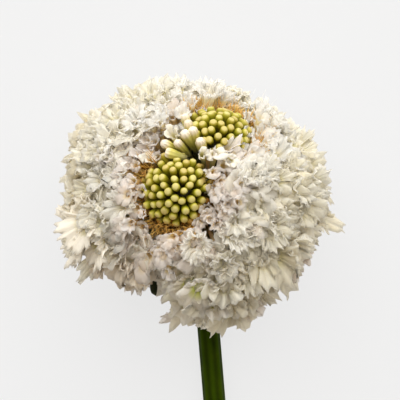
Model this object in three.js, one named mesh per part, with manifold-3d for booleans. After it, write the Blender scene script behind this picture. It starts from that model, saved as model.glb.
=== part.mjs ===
// A cut scabiosa with a twin head, lying on its back on a flat surface. Millimetres and degrees, +Z up.
// The ball of florets faces up and leans over towards +Y. Its stem bends at the neck and lies along -Y.
// The head is laid out in its own frame, whose +Z is the face axis and whose Y runs through both eyes.
import * as THREE from "three";
import { mergeVertices } from "three/addons/utils/BufferGeometryUtils.js";
import Module from "manifold-3d";

// ---- Driving dimensions ----
const HEAD_HEIGHT = 27; // from the surface up to the head's centre
const FACE_TILT = 32; // lean of the face axis from upright, towards +Y
const EYE_ROLL = 32.7; // turn of the line through both eyes, clockwise about the face axis
const EYE_SPREAD = 56; // angle between the two eyes' axes, at the head's centre
const GAP = 0.3; // clearance left between pieces that touch on the plant

const RECEPTACLE = { across: 11.5, along: 13.5 }; // half widths of the fleshy core, along the eyes and across them
const EYE = { seat: 17.3, dome: 6.1 }; // the dome's centre, from the head's centre, and its radius
const BUD = { count: 52, edge: 58, sunk: 0.9, length: 4.5, width: 2.3, sides: 6 }; // edge is an angle on the dome
const STEM = { diameter: 6, reach: 168, lean: 4.7, landing: 36, sides: 12, steps: 30 }; // reach is from the head's centre
const BRACT = { count: 8, first: 268, root: 150, tip: 131, reach: 27.5, width: 5.6, foot: 2.4, thickness: 0.8 };
const TUBE_RADIUS = 0.95; // foot of each floret's tube
const FLORET = { lobes: 5, perLobe: 4, notch: 0.78, wave: 1.1, clear: 0.5, widest: 19 }; // the last two are angles

// Each ring's florets stand on an oval round both eyes. across and along say how far it is from the eyes' edge, at
// 0, to the bracts' tips, at 1, beside the line of the eyes and on it. start is its first floret's azimuth.
const RINGS = [
  { name: "inner_floret", count: 12, across: 0.145, along: 0.157, start: 5, reach: 30.5, colour: 0xe9dccb },
  { name: "middle_floret", count: 14, across: 0.349, along: 0.436, start: 18, reach: 33.5, colour: 0xede6d8 },
  { name: "outer_floret", count: 12, across: 0.584, along: 0.661, start: -11, reach: 35, colour: 0xebe7dc },
  { name: "skirt_floret", count: 10, across: 0.849, along: 0.845, start: -13, reach: 35, colour: 0xe2dccf },
];

const rad = THREE.MathUtils.degToRad;
const wasm = await Module();
wasm.setup();

// ---- Frames and directions ----
const headTurn = new THREE.Quaternion().setFromEuler(new THREE.Euler(-rad(FACE_TILT), 0, -rad(EYE_ROLL), "XYZ"));
const faceAxis = new THREE.Vector3(0, 0, 1).applyQuaternion(headTurn);

// A unit vector in the head's frame, at a polar angle from the face axis and an azimuth from +X.
function towards(polar, azimuth) {
  const ring = Math.sin(rad(polar));
  return new THREE.Vector3(ring * Math.cos(rad(azimuth)), ring * Math.sin(rad(azimuth)), Math.cos(rad(polar)));
}

const eyeAxes = [towards(EYE_SPREAD / 2, -90), towards(EYE_SPREAD / 2, 90)];

// The half angle that an eye fills, out to the tips of its outermost buds.
const budTip = EYE.dome + BUD.length;
const eyeHalf = THREE.MathUtils.radToDeg(Math.atan2(
  budTip * Math.sin(rad(BUD.edge)) + BUD.width / 2, EYE.seat + budTip * Math.cos(rad(BUD.edge))));

// How far a point may go from the head's centre along a direction of the head's frame before it meets the surface.
function roomBelow(direction) {
  const down = -direction.clone().applyQuaternion(headTurn).z;
  return down > 0 ? HEAD_HEIGHT / down : Infinity;
}

// ---- Helpers for solids ----
function solidOf(geometry) {
  const bare = geometry.index ? geometry.toNonIndexed() : geometry.clone();
  bare.deleteAttribute("normal");
  bare.deleteAttribute("uv");
  const merged = mergeVertices(bare, 1e-4);
  return new wasm.Manifold(new wasm.Mesh({
    numProp: 3,
    vertProperties: merged.attributes.position.array,
    triVerts: new Uint32Array(merged.index.array),
  }));
}

function geometryOf(solid) {
  const mesh = solid.getMesh();
  const geometry = new THREE.BufferGeometry();
  geometry.setAttribute("position", new THREE.BufferAttribute(mesh.vertProperties, 3));
  geometry.setIndex(new THREE.BufferAttribute(mesh.triVerts, 1));
  geometry.computeVertexNormals();
  return geometry;
}

// A turned solid whose axis is +Z, from pairs of radius and height that start and end on the axis.
function turned(pairs, segments) {
  const profile = pairs.map(([radius, height]) => new THREE.Vector2(radius, height));
  return new THREE.LatheGeometry(profile, segments).rotateX(Math.PI / 2);
}

function named(name, geometry, material) {
  const mesh = new THREE.Mesh(geometry, material);
  mesh.name = name;
  return mesh;
}

// ---- Receptacle: the fleshy core that every floret grows from, drawn out along the line of the eyes ----
function receptacleGeometry(growth = 0) {
  const across = RECEPTACLE.across + growth;
  return new THREE.SphereGeometry(1, 24, 16).scale(across, RECEPTACLE.along + growth, across);
}

// Distance from the head's centre to the receptacle's surface along a direction.
function receptacleRadius(direction) {
  const scaled = new THREE.Vector3(
    direction.x / RECEPTACLE.across, direction.y / RECEPTACLE.along, direction.z / RECEPTACLE.across);
  return 1 / scaled.length();
}

// ---- Eyes: a dome packed with closed buds, in the spiral that such heads grow in ----
function budGeometry() {
  const half = BUD.width / 2;
  const root = EYE.dome - BUD.sunk;
  const shoulder = budTip - half * 0.75;
  return turned([[0, root], [half * 0.7, root], [half, shoulder - half], [half * 0.8, shoulder], [0, budTip]],
    BUD.sides);
}

function domeGeometry() {
  const flare = EYE.dome / EYE.seat; // the foot narrows towards the head's centre
  const foot = RECEPTACLE.across - 2 * GAP;
  const arc = [0, 22.5, 45, 67.5].map((angle) => [
    EYE.dome * Math.cos(rad(angle)), EYE.seat + EYE.dome * Math.sin(rad(angle))]);
  return turned([[0, foot], [foot * flare, foot], ...arc, [0, EYE.seat + EYE.dome]], 20);
}

// Directions of the buds about the dome's own axis: golden-angle turns over equal steps of area.
function budDirections() {
  const goldenAngle = 180 * (3 - Math.sqrt(5));
  return Array.from({ length: BUD.count }, (_, index) => {
    const share = (index + 0.5) / BUD.count;
    const polar = THREE.MathUtils.radToDeg(Math.acos(1 - share * (1 - Math.cos(rad(BUD.edge)))));
    return towards(polar, index * goldenAngle);
  });
}

// side is -1 for the lower eye and 1 for the upper one. No bud crosses the cleft at y = 0.
function eyeSolid(side) {
  const axis = eyeAxes[side < 0 ? 0 : 1];
  const stand = new THREE.Quaternion().setFromUnitVectors(new THREE.Vector3(0, 0, 1), axis);
  const centre = axis.clone().multiplyScalar(EYE.seat);
  const bud = budGeometry();
  let solid = solidOf(domeGeometry().applyQuaternion(stand));
  for (const direction of budDirections()) {
    direction.applyQuaternion(stand);
    const tip = direction.clone().multiplyScalar(budTip).add(centre);
    if (tip.y * side < BUD.width / 2 + GAP) continue;
    const turn = new THREE.Quaternion().setFromUnitVectors(new THREE.Vector3(0, 0, 1), direction);
    const placed = new THREE.Matrix4().compose(centre, turn, new THREE.Vector3(1, 1, 1));
    solid = solid.add(solidOf(bud.clone().applyMatrix4(placed)));
  }
  return solid.subtract(solidOf(receptacleGeometry(GAP))).trimByPlane([0, side, 0], GAP / 2);
}

// ---- Florets: trumpets with a frilled mouth, each inside its own cell of directions from the head's centre ----
// Evenly spaced directions on a ring's oval.
function ringDirections({ count, across, along, start }) {
  const steps = 720;
  const beside = THREE.MathUtils.lerp(eyeHalf, BRACT.tip, across);
  const inLine = THREE.MathUtils.lerp(EYE_SPREAD / 2 + eyeHalf, BRACT.tip, along);
  const oval = Array.from({ length: steps + 1 }, (_, step) => {
    const azimuth = (360 * step) / steps + start;
    const polar = 1 / Math.hypot(Math.cos(rad(azimuth)) / beside, Math.sin(rad(azimuth)) / inLine);
    return towards(polar, azimuth);
  });
  const travelled = [0];
  for (let step = 1; step <= steps; step += 1) {
    travelled.push(travelled[step - 1] + oval[step].angleTo(oval[step - 1]));
  }
  return Array.from({ length: count }, (_, index) => {
    const target = (travelled[steps] * index) / count;
    return oval[travelled.findIndex((length) => length >= target)];
  });
}

// How far a floret may spread from its axis, towards one side, before cosine falls to a limit or climbs to it.
function fallsTo(limit, ahead, aside) {
  const ratio = limit / Math.hypot(ahead, aside);
  return Math.abs(ratio) < 1 ? Math.atan2(aside, ahead) + Math.acos(ratio) : Infinity;
}

function climbsTo(limit, ahead, aside) {
  const ratio = limit / Math.hypot(ahead, aside);
  return ratio < 1 ? Math.abs(Math.atan2(aside, ahead) - Math.acos(ratio)) : Infinity;
}

// The angle that a floret may spread to one side: half way to its neighbours, and clear of the eyes and bracts.
function spreadTo(side, direction, neighbours) {
  const clear = rad(FLORET.clear);
  const face = new THREE.Vector3(0, 0, 1);
  const limits = neighbours.filter((other) => other !== direction).map((other) => {
    const between = direction.clone().sub(other).normalize();
    return fallsTo(Math.sin(clear), direction.dot(between), side.dot(between));
  });
  const eyes = eyeAxes.map((axis) => (side.dot(axis) > 0
    ? climbsTo(Math.cos(rad(eyeHalf) + clear), direction.dot(axis), side.dot(axis)) : Infinity));
  const bracts = fallsTo(Math.cos(rad(BRACT.tip - 2) - clear), direction.dot(face), side.dot(face));
  return Math.min(...limits, ...eyes, bracts, rad(FLORET.widest));
}

// A closed trumpet about the direction: rings of points from the tube's foot out to the frilled rim, then inwards.
function floretGeometry(direction, neighbours, reach) {
  const around = FLORET.lobes * FLORET.perLobe;
  const first = new THREE.Vector3(0, 0, 1).cross(direction).normalize();
  const foot = receptacleRadius(direction) + GAP + 0.2;
  const points = [direction.clone().multiplyScalar(foot)];
  const sides = Array.from({ length: around }, (_, index) => {
    const side = first.clone().applyAxisAngle(direction, (2 * Math.PI * index) / around);
    const lobe = 0.5 - 0.5 * Math.cos((2 * Math.PI * index) / FLORET.perLobe);
    const spread = spreadTo(side, direction, neighbours) * THREE.MathUtils.lerp(FLORET.notch, 1, lobe);
    const rimAxis = direction.clone().multiplyScalar(Math.cos(spread)).addScaledVector(side, Math.sin(spread));
    const rim = Math.min(reach - FLORET.wave * (1 - lobe), roomBelow(rimAxis));
    return { side, spread, rim };
  });
  const tube = Math.atan(TUBE_RADIUS / foot);
  const rings = [[0, 0], [0.45, 0.12], [0.8, 0.5], [1, 1], [0.94, 0.62]]; // shares of the length and of the spread
  for (const [out, wide] of rings) {
    for (const { side, spread, rim } of sides) {
      const angle = THREE.MathUtils.lerp(Math.min(tube, spread * 0.8), spread, wide);
      const distance = THREE.MathUtils.lerp(foot, rim, out);
      points.push(direction.clone().multiplyScalar(Math.cos(angle) * distance)
        .addScaledVector(side, Math.sin(angle) * distance));
    }
  }
  points.push(direction.clone().multiplyScalar(THREE.MathUtils.lerp(foot, Math.min(reach, roomBelow(direction)), 0.7)));
  const triangles = [];
  for (let index = 0; index < around; index += 1) {
    const next = (index + 1) % around;
    triangles.push(0, 1 + next, 1 + index);
    for (let ring = 0; ring < rings.length - 1; ring += 1) {
      const here = 1 + ring * around;
      const above = here + around;
      triangles.push(here + index, here + next, above + next, here + index, above + next, above + index);
    }
    const last = 1 + (rings.length - 1) * around;
    triangles.push(points.length - 1, last + index, last + next);
  }
  const geometry = new THREE.BufferGeometry().setFromPoints(points);
  geometry.setIndex(triangles);
  geometry.computeVertexNormals();
  return geometry;
}

// ---- Bracts: narrow green leaves behind the florets ----
function bractGeometry(length) {
  const half = BRACT.width / 2;
  const outline = new THREE.Shape();
  outline.moveTo(-BRACT.foot / 2, 0);
  outline.lineTo(BRACT.foot / 2, 0);
  outline.quadraticCurveTo(half * 0.8, length * 0.35, half, length - half * 1.3);
  outline.quadraticCurveTo(half * 0.95, length, 0, length);
  outline.quadraticCurveTo(-half * 0.95, length, -half, length - half * 1.3);
  outline.quadraticCurveTo(-half * 0.8, length * 0.35, -BRACT.foot / 2, 0);
  const solid = new THREE.ExtrudeGeometry(outline, { depth: BRACT.thickness, bevelEnabled: false, curveSegments: 4 });
  return solid.translate(0, 0, -BRACT.thickness / 2);
}

function bract(index, material) {
  const azimuth = BRACT.first + (360 * index) / BRACT.count;
  const rootAxis = towards(BRACT.root, azimuth);
  const tipAxis = towards(BRACT.tip, azimuth);
  const root = rootAxis.clone().multiplyScalar(receptacleRadius(rootAxis) + GAP + BRACT.thickness);
  const tip = tipAxis.clone().multiplyScalar(Math.min(BRACT.reach, roomBelow(tipAxis) - BRACT.thickness));
  const along = tip.clone().sub(root).normalize();
  const across = new THREE.Vector3(0, 0, 1).cross(rootAxis).normalize();
  const mesh = named(`bract_${index + 1}`, bractGeometry(tip.distanceTo(root)), material);
  mesh.quaternion.setFromRotationMatrix(new THREE.Matrix4().makeBasis(across, along, across.clone().cross(along)));
  mesh.position.copy(root);
  return mesh;
}

// ---- Stem: out of the back of the head, round the neck, then along the surface to its cut end ----
function stemGeometry() {
  const radius = STEM.diameter / 2;
  const run = new THREE.Vector3(Math.sin(rad(STEM.lean)), -Math.cos(rad(STEM.lean)), 0);
  const onSurface = (distance) => run.clone().multiplyScalar(distance).setZ(radius - HEAD_HEIGHT);
  const top = faceAxis.clone().multiplyScalar(-(RECEPTACLE.across + GAP));
  const landing = onSurface(STEM.landing);
  const neck = new THREE.CubicBezierCurve3(
    top,
    faceAxis.clone().multiplyScalar(-(RECEPTACLE.across + STEM.landing * 0.34)),
    onSurface(STEM.landing * 0.55),
    landing,
  );
  const straight = [0.12, 0.3, 0.5, 0.75, 1].map((share) => landing.clone().lerp(onSurface(STEM.reach), share));
  const path = new THREE.CatmullRomCurve3([...neck.getPoints(7), ...straight], false, "centripetal");
  const section = new THREE.Shape(Array.from({ length: STEM.sides }, (_, side) => {
    const angle = (2 * Math.PI * (side + 0.5)) / STEM.sides;
    return new THREE.Vector2(radius * Math.cos(angle), radius * Math.sin(angle));
  }));
  return new THREE.ExtrudeGeometry(section, { steps: STEM.steps, extrudePath: path });
}

// ---- Assembly ----
const petal = (colour) => new THREE.MeshStandardMaterial({ color: colour, roughness: 0.65, metalness: 0 });
const bractGreen = new THREE.MeshStandardMaterial({ color: 0x1f2c12, roughness: 0.6, metalness: 0 });
const stemGreen = new THREE.MeshStandardMaterial({ color: 0x2f4208, roughness: 0.55, metalness: 0 });
const budGreen = new THREE.MeshStandardMaterial({ color: 0xb8bd6c, roughness: 0.55, metalness: 0 });
const coreGreen = new THREE.MeshStandardMaterial({ color: 0x8b9a4b, roughness: 0.7, metalness: 0 });

const head = new THREE.Group();
head.quaternion.copy(headTurn);
head.add(named("receptacle", receptacleGeometry(), coreGreen));
head.add(named("lower_eye_buds", geometryOf(eyeSolid(-1)), budGreen));
head.add(named("upper_eye_buds", geometryOf(eyeSolid(1)), budGreen));

const ringed = RINGS.map(ringDirections);
const everyDirection = ringed.flat();
RINGS.forEach((ring, ringIndex) => {
  const material = petal(ring.colour);
  ringed[ringIndex].forEach((direction, index) => {
    const name = `${ring.name}_${String(index + 1).padStart(2, "0")}`;
    head.add(named(name, floretGeometry(direction, everyDirection, ring.reach), material));
  });
});
for (let index = 0; index < BRACT.count; index += 1) head.add(bract(index, bractGreen));

// The flower is shifted so that the origin is the middle of its footprint, on the surface that it lies on.
const flower = new THREE.Group();
flower.add(head, named("stem", stemGeometry(), stemGreen));
const scabiosa = new THREE.Group();
scabiosa.name = "scabiosa";
scabiosa.add(flower);
const box = new THREE.Box3().setFromObject(scabiosa, true);
const middle = box.getCenter(new THREE.Vector3());
flower.position.set(-middle.x, -middle.y, -box.min.z);

export default scabiosa;
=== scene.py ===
"""A cut scabiosa with a twin head, lying on its back: the finished florets, buds, bracts and stem."""
import logging
import math
from dataclasses import dataclass, field
from enum import Enum, IntEnum
from typing import Callable, Iterable, Sequence

import bmesh
import bpy
import numpy as np
from mathutils import Matrix, Vector


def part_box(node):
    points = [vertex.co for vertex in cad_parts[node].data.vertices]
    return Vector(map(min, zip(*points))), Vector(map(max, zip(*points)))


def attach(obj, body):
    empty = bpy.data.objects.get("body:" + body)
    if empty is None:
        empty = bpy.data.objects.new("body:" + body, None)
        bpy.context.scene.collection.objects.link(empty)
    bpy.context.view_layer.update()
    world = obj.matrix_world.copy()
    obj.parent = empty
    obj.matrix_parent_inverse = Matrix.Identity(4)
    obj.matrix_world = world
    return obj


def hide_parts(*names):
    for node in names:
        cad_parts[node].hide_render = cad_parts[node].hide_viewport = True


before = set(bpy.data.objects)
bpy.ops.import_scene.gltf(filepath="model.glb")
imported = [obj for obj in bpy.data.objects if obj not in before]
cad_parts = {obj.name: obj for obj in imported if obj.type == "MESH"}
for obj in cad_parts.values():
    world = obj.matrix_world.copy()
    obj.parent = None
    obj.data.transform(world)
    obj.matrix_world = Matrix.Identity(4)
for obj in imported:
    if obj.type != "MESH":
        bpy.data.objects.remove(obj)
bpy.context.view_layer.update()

log = logging.getLogger("scabiosa")

MM = 0.001
GOLDEN_ANGLE = math.pi * (3 - math.sqrt(5))
Colour = tuple[float, float, float]
Shade = tuple[int, int, int]


class Seed(IntEnum):
    """Where each sub-assembly's random draws start."""

    CORONA = 100
    EYE = 900
    FILLING = 2000
    COLLAR = 5000
    CLEFT = 7000
    BRISTLES = 8000


def shade(red: int, green: int, blue: int) -> Colour:
    """Turns a display colour from 0 to 255 into linear light.

    Args:
        red, green, blue: the display colour.

    Returns:
        The colour in linear light, from 0 to 1.
    """
    def linear(value: int) -> float:
        """One channel in linear light."""
        part = value / 255
        return part / 12.92 if part <= 0.04045 else ((part + 0.055) / 1.055) ** 2.4
    return linear(red), linear(green), linear(blue)


def ray(polar: float, azimuth: float) -> np.ndarray:
    """A unit vector at an angle from +Z and another about it, both in radians."""
    return np.array([math.sin(polar) * math.cos(azimuth), math.sin(polar) * math.sin(azimuth), math.cos(polar)])


def between(first: np.ndarray, second: np.ndarray) -> float:
    """The angle between two unit vectors, in degrees."""
    return math.degrees(math.acos(max(-1.0, min(1.0, float(first @ second)))))


# ---------------------------------------------------------------- the head's layout


class Patch(Enum):
    """Where the florets differ, and where their petals are given painted shade: polar angle and azimuth about the face
    axis, and how far it spreads, in degrees.
    """

    CUPPED = (80, -124, 15)
    # Painted shade: the petals on the head's lower left side, which lies in the head's own shade, are painted darker
    # and browner here.
    DUSKY = (98, -106, 24)
    SAPPY = (77, -62, 17)
    OPEN_BY_STEM = (100, -84, 8)
    OPEN_OVER_BRACT = (80, -124, 7)


@dataclass
class HeadPlan:
    """Where things stand on the head: its centre, the way it faces, and its two eyes.

    The head's own frame has +Z as the face axis and Y along the line through both eyes. Angles are in degrees.
    """

    tilt: float = 32.0
    roll: float = 32.7
    spread: float = 56.0
    seat: float = 17.3 * MM
    eye_half: float = 23.9
    outline: tuple[float, ...] = (
        0.97, 1.0, 0.96, 0.99, 1.0, 1.07, 1.02, 1.04, 1.04, 1.01, 1.03, 0.98,
        1.0, 1.02, 0.94, 0.95, 0.83, 0.8, 0.95, 1.02, 0.92, 0.74, 0.97, 0.79)
    dent: tuple[float, float, float] = (242.0, 15.0, 0.45)
    sunk_share: float = 0.13
    sunk_from: float = 82.0
    sunk_over: float = 34.0
    centre: np.ndarray = field(init=False)
    turn: np.ndarray = field(init=False)
    eyes: list[np.ndarray] = field(init=False)

    def __post_init__(self) -> None:
        """Reads the head's centre from its core, and works out its axes."""
        low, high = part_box("receptacle")
        self.centre = (np.array(low) + np.array(high)) / 2
        tilt = Matrix.Rotation(-math.radians(self.tilt), 3, "X")
        roll = Matrix.Rotation(-math.radians(self.roll), 3, "Z")
        self.turn = np.array(tilt @ roll)
        self.eyes = [self.towards(self.spread / 2, -90), self.towards(self.spread / 2, 90)]

    @property
    def face(self) -> np.ndarray:
        """The face axis, in the row frame."""
        return self.turn @ np.array([0, 0, 1.0])

    def towards(self, polar: float, azimuth: float) -> np.ndarray:
        """A unit vector of the row frame, at a polar angle from the face axis and an azimuth about it.

        Args:
            polar: the angle from the face axis.
            azimuth: the angle about the face axis, from the head's own +X.

        Returns:
            The unit vector.
        """
        return self.turn @ ray(math.radians(polar), math.radians(azimuth))

    def spiral(self, count: int) -> Iterable[np.ndarray]:
        """Directions spread evenly over the whole sphere, from the face axis to the back.

        Args:
            count: the number of directions.

        Yields:
            Each direction, in the row frame.
        """
        for step in range(count):
            height = 1 - 2 * (step + 0.5) / count
            ring, turn = math.sqrt(1 - height * height), step * GOLDEN_ANGLE
            yield self.turn @ np.array([ring * math.cos(turn), ring * math.sin(turn), height])

    def beyond_eyes(self, axis: np.ndarray) -> float:
        """How far a direction is outside the nearer eye's edge, in degrees."""
        return min(between(axis, eye) for eye in self.eyes) - self.eye_half

    def polar(self, axis: np.ndarray) -> float:
        """The angle of a direction from the face axis, in degrees."""
        return between(axis, self.face)

    def settled(self, axis: np.ndarray) -> float:
        """How much of its reach a floret keeps: those nearest the stem have sunk back, and the outline is uneven.

        Args:
            axis: the floret's direction.

        Returns:
            The share of its reach.
        """
        sunk = 1 - self.sunk_share * max(0.0, min(1.0, (self.polar(axis) - self.sunk_from) / self.sunk_over))
        steps = len(self.outline)
        turn = math.atan2(axis[1], axis[0]) % math.tau / math.tau * steps
        uneven = float(np.interp(turn, np.arange(steps + 1), (*self.outline, self.outline[0])))
        middle, width, depth = self.dent
        dented = depth * math.exp(-((turn * 360 / steps - middle) / width) ** 2)
        sideways = float(axis[0] ** 2 + axis[1] ** 2)
        return sunk * (1 + (uneven - 1) * sideways ** 1.5 - dented * sideways)

    def within(self, axis: np.ndarray, patch: Patch) -> bool:
        """Whether a direction is in a patch."""
        polar, azimuth, near = patch.value
        return between(axis, self.towards(polar, azimuth)) < near

    def oval(self, out: float, count: int, start: float) -> list[np.ndarray]:
        """Evenly spaced directions on an oval round both eyes.

        Args:
            out: how far the oval is outside the eyes' edge, in degrees.
            count: the number of directions.
            start: the azimuth of the first one, in degrees.

        Returns:
            The directions, in the row frame.
        """
        beside, along = self.eye_half + out, self.spread / 2 + self.eye_half + out
        ring = []
        for step in range(721):
            azimuth = step / 2 + start
            a = math.radians(azimuth)
            ring.append(self.towards(1 / math.hypot(math.cos(a) / beside, math.sin(a) / along), azimuth))
        steps = [math.acos(min(1.0, float(a @ b))) for a, b in zip(ring, ring[1:])]
        travelled = np.concatenate([[0.0], np.cumsum(steps)])
        return [ring[int(np.searchsorted(travelled, travelled[-1] * i / count))] for i in range(count)]


def frame_about(axis: np.ndarray, away_from: np.ndarray) -> np.ndarray:
    """A frame whose third column is an axis and whose first column points away from a direction.

    Args:
        axis: the unit vector that the frame's +Z points along.
        away_from: the unit vector that the frame's +X points away from.

    Returns:
        A 3 by 3 rotation.
    """
    first = axis * float(axis @ away_from) - away_from
    if np.linalg.norm(first) < 1e-6:
        first = np.cross(axis, np.array([1.0, 0, 0]))
    first /= np.linalg.norm(first)
    return np.column_stack([first, np.cross(axis, first), axis])


def lift_off_surface(points: np.ndarray, soft: float = 1.4 * MM) -> np.ndarray:
    """Presses what would go below the surface flat against it, with a soft bend.

    Args:
        points: the points, which are changed in place.
        soft: the height at which a point starts to bend.

    Returns:
        The same points.
    """
    low = points[:, 2] < soft
    points[low, 2] = soft * np.exp((points[low, 2] - soft) / soft) * 0.82 + 0.18 * soft
    return points


# ---------------------------------------------------------------- finishes


class Board:
    """A material or group's node tree, with short ways to add nodes and to join them."""

    def __init__(self, tree: bpy.types.NodeTree) -> None:
        """Keeps the tree and empties it."""
        self.tree = tree
        tree.nodes.clear()

    def add(self, kind: str, values: dict[str | int, object] | None = None, **settings: object) -> bpy.types.Node:
        """Adds a node.

        Args:
            kind: the node's type.
            values: what each input is set to or joined to.
            settings: the node's own settings.

        Returns:
            The node.
        """
        node = self.tree.nodes.new(kind)
        for name, setting in settings.items():
            setattr(node, name, setting)
        for name, value in (values or {}).items():
            if isinstance(value, bpy.types.NodeSocket):
                self.tree.links.new(value, node.inputs[name])
            else:
                node.inputs[name].default_value = value
        return node

    def attribute(self, name: str) -> bpy.types.NodeSocket:
        """The value of a piece's own attribute."""
        return self.add("ShaderNodeAttribute", attribute_name=name).outputs["Fac"]

    def ramp(self, factor: bpy.types.NodeSocket, stops: Sequence[tuple[float, Colour]]) -> bpy.types.NodeSocket:
        """A colour that runs through stops.

        Args:
            factor: what the stops are read by.
            stops: each stop's place, from 0 to 1, and colour.

        Returns:
            The colour.
        """
        node = self.add("ShaderNodeValToRGB", {"Fac": factor})
        ramp = node.color_ramp
        while len(ramp.elements) < len(stops):
            ramp.elements.new(0.5)
        for element, (place, colour) in zip(ramp.elements, stops):
            element.position = place
            element.color = (*colour, 1)
        return node.outputs["Color"]

    def number(self, operation: str, *values: object) -> bpy.types.NodeSocket:
        """The result of a sum on numbers."""
        return self.add("ShaderNodeMath", dict(enumerate(values)), operation=operation).outputs[0]

    def tissue(self, tone: bpy.types.NodeSocket, blotch: Colour, scale: float, amount: float) -> bpy.types.Node:
        """Turns a colour into living tissue, tinted piece by piece and blotched.

        Args:
            tone: the colour.
            blotch: the colour of its blotches.
            scale: how fine they are.
            amount: how strong they are.

        Returns:
            The group node, which gives a colour and a height.
        """
        tinted = self.mix(self.attribute("tint"), tone, blotch, "MULTIPLY")
        return self.add("ShaderNodeGroup", {"Colour": tinted, "Blotch": (*blotch, 1), "Scale": scale, "Amount": amount},
                        node_tree=mottle_group())

    def mix(self, factor: object, first: object, second: object, blend: str = "MIX") -> bpy.types.NodeSocket:
        """A mix of two colours."""
        node = self.add("ShaderNodeMix", data_type="RGBA", blend_type=blend)
        for socket, value in ((0, factor), (6, first), (7, second)):
            if isinstance(value, bpy.types.NodeSocket):
                self.tree.links.new(value, node.inputs[socket])
            else:
                node.inputs[socket].default_value = value if socket == 0 else (*value, 1)
        return node.outputs[2]


def blank(name: str) -> tuple[bpy.types.Material, Board]:
    """A new material and its empty board."""
    material = bpy.data.materials.new(name)
    material.use_nodes = True
    return material, Board(material.node_tree)


def group(name: str, inputs: dict[str, tuple[str, object]], outputs: dict[str, str],
          fill: Callable[[Board, bpy.types.Node], dict[str, bpy.types.NodeSocket]]) -> bpy.types.NodeTree:
    """Makes a shader node group once.

    Args:
        name: the group's name.
        inputs: each input's socket type and default.
        outputs: each output's socket type.
        fill: adds the nodes, and gives what each output takes.

    Returns:
        The group.
    """
    if name in bpy.data.node_groups:
        return bpy.data.node_groups[name]
    tree = bpy.data.node_groups.new(name, "ShaderNodeTree")
    for label, (kind, default) in inputs.items():
        tree.interface.new_socket(label, in_out="INPUT", socket_type=kind).default_value = default
    for label, kind in outputs.items():
        tree.interface.new_socket(label, in_out="OUTPUT", socket_type=kind)
    board = Board(tree)
    entry = board.add("NodeGroupInput")
    board.add("NodeGroupOutput", fill(board, entry))
    return tree


def mottle_group() -> bpy.types.NodeTree:
    """The soft blotches of living tissue, as a colour and as a height."""
    def fill(board: Board, entry: bpy.types.Node) -> dict[str, bpy.types.NodeSocket]:
        """Two sizes of noise: the large one shifts the colour, and both give the height."""
        place = board.add("ShaderNodeTexCoord").outputs["Object"]
        large = board.add("ShaderNodeTexNoise", {"Vector": place, "Scale": entry.outputs["Scale"], "Detail": 3.0})
        fine_scale = board.number("MULTIPLY", entry.outputs["Scale"], 6.0)
        fine = board.add("ShaderNodeTexNoise", {"Vector": place, "Scale": fine_scale, "Detail": 2.0})
        patch = board.number("MULTIPLY", large.outputs["Fac"], entry.outputs["Amount"])
        colour = board.mix(patch, entry.outputs["Colour"], entry.outputs["Blotch"])
        height = board.number("ADD", large.outputs["Fac"], board.number("MULTIPLY", fine.outputs["Fac"], 0.5))
        return {"Colour": colour, "Height": height}
    return group(
        "living_mottle",
        {"Colour": ("NodeSocketColor", (1, 1, 1, 1)), "Blotch": ("NodeSocketColor", (1, 1, 1, 1)),
         "Scale": ("NodeSocketFloat", 300.0), "Amount": ("NodeSocketFloat", 0.5)},
        {"Colour": "NodeSocketColor", "Height": "NodeSocketFloat"}, fill)


def vein_group() -> bpy.types.NodeTree:
    """Fine veins that run from a petal's throat to its edge, as a mask."""
    def fill(board: Board, entry: bpy.types.Node) -> dict[str, bpy.types.NodeSocket]:
        """A wave round the floret, which wanders a little and is strongest half way out."""
        layout = board.add("ShaderNodeUVMap", uv_map="UVMap").outputs["UV"]
        parts = board.add("ShaderNodeSeparateXYZ", {0: layout})
        wander = board.add("ShaderNodeTexNoise", {"Vector": layout, "Scale": 9.0, "Detail": 1.0})
        shifted = board.number("MULTIPLY_ADD", wander.outputs["Fac"], 0.02, parts.outputs["X"])
        wave = board.number("SINE", board.number("MULTIPLY", shifted, entry.outputs["Count"]))
        ridge = board.number("MULTIPLY_ADD", wave, 0.5, 0.5)
        return {"Vein": board.number("POWER", ridge, 2.5)}
    return group("petal_veins", {"Count": ("NodeSocketFloat", 280.0)}, {"Vein": "NodeSocketFloat"}, fill)


@dataclass(frozen=True)
class PetalFinish:
    """Thin petals: yellowish in the tube, pale cream over the blade and at the edge, and lit through."""

    name: str
    tube: Shade = (246, 243, 200)
    throat: Shade = (252, 249, 228)
    blade: Shade = (254, 252, 245)
    edge: Shade = (254, 251, 245)
    blotch: Shade = (253, 248, 233)
    seen_through: float = 0.78

    def make(self) -> bpy.types.Material:
        """Builds the material.

        Returns:
            The material.
        """
        material, board = blank(f"{self.name}_petals")
        tube, throat, blade, edge = (shade(*part) for part in (self.tube, self.throat, self.blade, self.edge))
        tone = board.ramp(board.attribute("along"), [(0.0, tube), (0.3, tube), (0.46, throat), (0.66, blade),
                                                     (0.94, blade), (1.0, edge)])
        mottle = board.tissue(tone, shade(*self.blotch), 260.0, 0.45)
        veins = board.add("ShaderNodeGroup", {"Count": 300.0}, node_tree=vein_group())
        height = board.number("MULTIPLY_ADD", veins.outputs["Vein"], 1.0, mottle.outputs["Height"])
        bump = board.add("ShaderNodeBump", {"Strength": 0.35, "Distance": 0.00012, "Height": height})
        surface = board.add("ShaderNodeBsdfPrincipled", {
            "Base Color": mottle.outputs["Colour"], "Roughness": 0.62, "Specular IOR Level": 0.2,
            "Normal": bump.outputs[0]})
        through = board.add("ShaderNodeBsdfTranslucent", {"Color": tone})
        both = board.add("ShaderNodeMixShader", {0: self.seen_through, 1: surface.outputs[0], 2: through.outputs[0]})
        board.add("ShaderNodeOutputMaterial", {"Surface": both.outputs[0]})
        return material


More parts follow.
